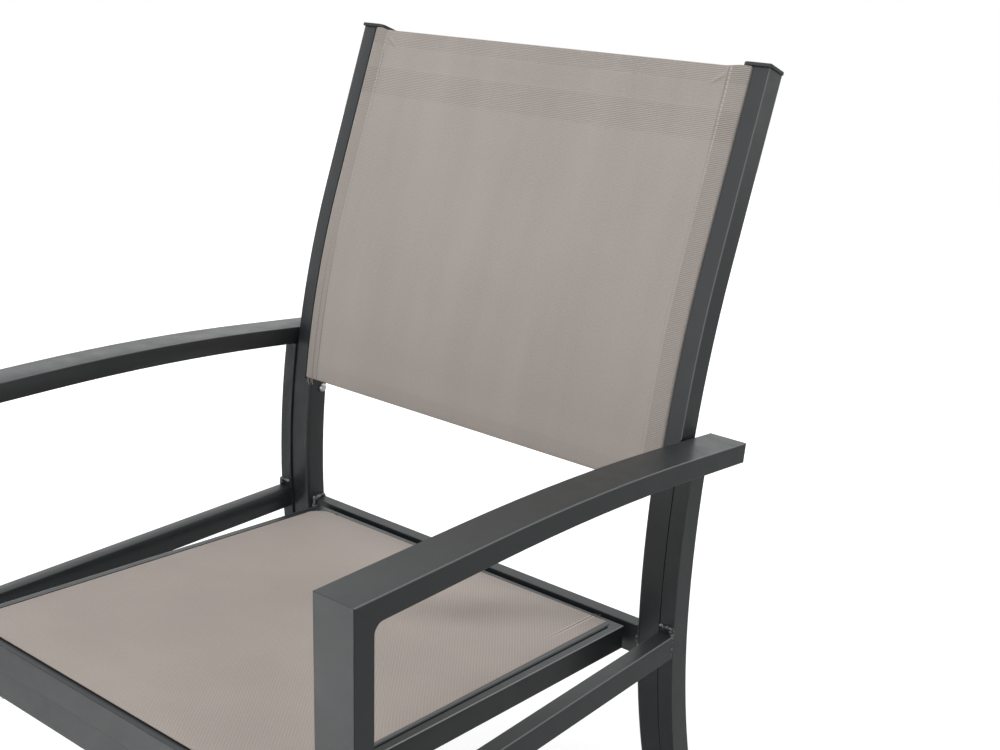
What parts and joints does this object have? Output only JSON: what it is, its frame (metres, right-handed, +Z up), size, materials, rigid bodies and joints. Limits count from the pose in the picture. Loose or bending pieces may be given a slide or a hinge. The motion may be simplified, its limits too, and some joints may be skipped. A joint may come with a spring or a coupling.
{
  "type": "sling patio chair",
  "caption": "Outdoor armchair with a flat-tube frame, curved back posts, a tilted seat frame and taut mesh slings held in slots.",
  "frame": {"origin": "centre of the bounding box's underside, on the floor", "axes": "+Z up, the sitter faces -Y, +X to the sitter's left"},
  "size_m": [0.588, 0.588, 0.9233],
  "materials": {
    "powder_coated_aluminium": "anthracite powder coat, satin",
    "black_plastic": "black moulded plastic, matte",
    "foot_rubber": "black rubber, matte",
    "sling_mesh": "taupe vinyl-coated mesh, plain weave",
    "zinc_plated_steel": "bright zinc plate"
  },
  "bodies": {
    "root": {"back_post_left": "powder_coated_aluminium", "back_post_right": "powder_coated_aluminium", "back_post_cap_left": "black_plastic", "back_post_cap_right": "black_plastic", "back_post_foot_left": "foot_rubber", "back_post_foot_right": "foot_rubber", "post_upper_screw_left": "zinc_plated_steel", "post_upper_screw_right": "zinc_plated_steel", "post_lower_screw_left": "zinc_plated_steel", "post_lower_screw_right": "zinc_plated_steel", "post_upper_nut_left": "zinc_plated_steel", "post_upper_nut_right": "zinc_plated_steel", "post_lower_nut_left": "zinc_plated_steel", "post_lower_nut_right": "zinc_plated_steel", "back_spreader_bar": "powder_coated_aluminium", "armrest_left": "powder_coated_aluminium", "armrest_right": "powder_coated_aluminium", "armrest_end_cap_left": "black_plastic", "armrest_end_cap_right": "black_plastic", "front_leg_left": "powder_coated_aluminium", "front_leg_right": "powder_coated_aluminium", "front_leg_foot_left": "foot_rubber", "front_leg_foot_right": "foot_rubber", "rear_leg_left": "powder_coated_aluminium", "rear_leg_right": "powder_coated_aluminium", "rear_leg_foot_left": "foot_rubber", "rear_leg_foot_right": "foot_rubber", "side_rail_left": "powder_coated_aluminium", "side_rail_right": "powder_coated_aluminium", "rear_cross_rail": "powder_coated_aluminium", "front_cross_rail_bolt_left": "zinc_plated_steel", "front_cross_rail_bolt_right": "zinc_plated_steel", "seat_rear_bolt_left": "zinc_plated_steel", "seat_rear_bolt_right": "zinc_plated_steel", "seat_rear_spacer_left": "black_plastic", "seat_rear_spacer_right": "black_plastic", "seat_rear_nut_left": "zinc_plated_steel", "seat_rear_nut_right": "zinc_plated_steel", "back_sling": "sling_mesh", "back_spline_left": "black_plastic", "back_spline_right": "black_plastic", "seat_side_rail_left": "powder_coated_aluminium", "seat_side_rail_right": "powder_coated_aluminium", "seat_rear_rail": "powder_coated_aluminium", "seat_front_rail": "powder_coated_aluminium", "seat_sling": "sling_mesh", "seat_spline_left": "black_plastic", "seat_spline_right": "black_plastic", "front_cross_rail": "powder_coated_aluminium", "front_cross_rail_plug_left": "black_plastic", "front_cross_rail_plug_right": "black_plastic", "seat_front_bolt_left": "zinc_plated_steel", "seat_front_bolt_right": "zinc_plated_steel", "seat_front_nut_left": "zinc_plated_steel", "seat_front_nut_right": "zinc_plated_steel"}
  },
  "joints": []
}
